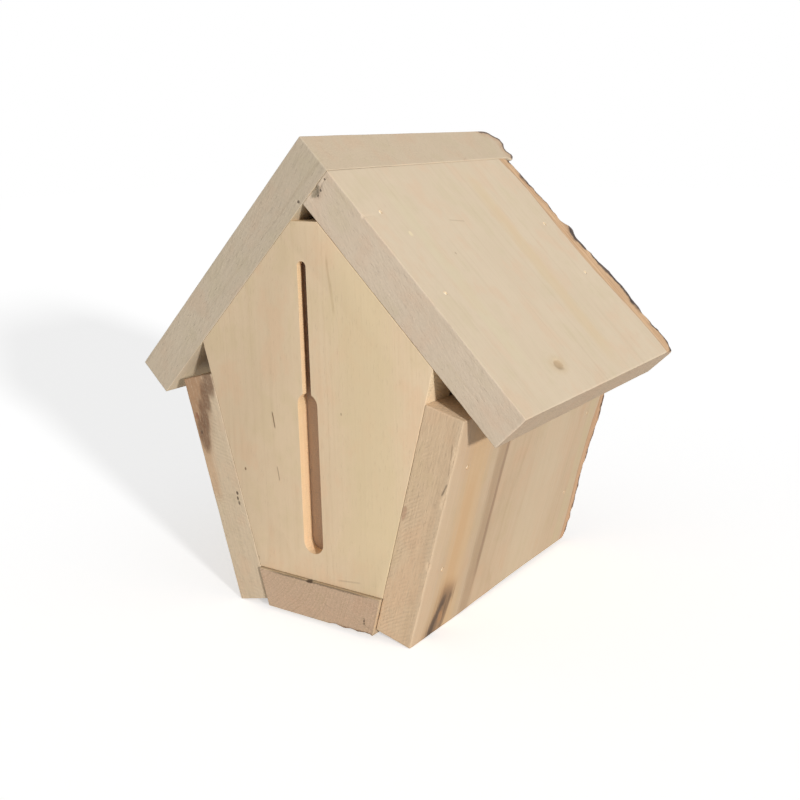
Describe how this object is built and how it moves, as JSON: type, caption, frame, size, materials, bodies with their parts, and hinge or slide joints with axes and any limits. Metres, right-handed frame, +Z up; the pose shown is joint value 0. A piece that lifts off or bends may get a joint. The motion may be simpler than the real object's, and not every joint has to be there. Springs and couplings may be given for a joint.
{
  "type": "bird house",
  "caption": "Live-edge wooden bird house with a pitched roof, walls that lean outwards, a round entrance, a keyhole hanging slot and a floor that slides out for cleaning.",
  "frame": {"origin": "on the ground the house stands on, under the middle of the house from back to front and from wall to wall; z = 0 is level with the walls' lowest edges", "axes": "+Z up; the entrance looks along -Y; the back panel's outer face, with the keyhole slot, looks along +Y; +X is to the right of someone facing the entrance"},
  "size_m": [0.2435, 0.1972, 0.2534],
  "materials": {
    "panels": "planed, unfinished",
    "walls": "rough sawn, unfinished, bark-side live edge",
    "roof": "rough sawn, unfinished, bark-side live edge",
    "floor": "rough sawn, unfinished",
    "nails": "bright wire"
  },
  "bodies": {
    "house": {"back_panel": "panels", "front_panel": "panels", "left_wall": "walls", "right_wall": "walls", "long_roof_board": "roof", "short_roof_board": "roof", "left_wall_nails": "nails", "right_wall_nails": "nails", "long_roof_nails": "nails", "short_roof_nails": "nails", "ridge_nails": "nails"},
    "clean_out_floor": {"floor_board": "floor"}
  },
  "joints": [
    {"name": "floor_slide", "type": "slide", "parent": "house", "child": "clean_out_floor", "axis": [0, -1, 0], "range_m": [0, 0.19]}
  ]
}
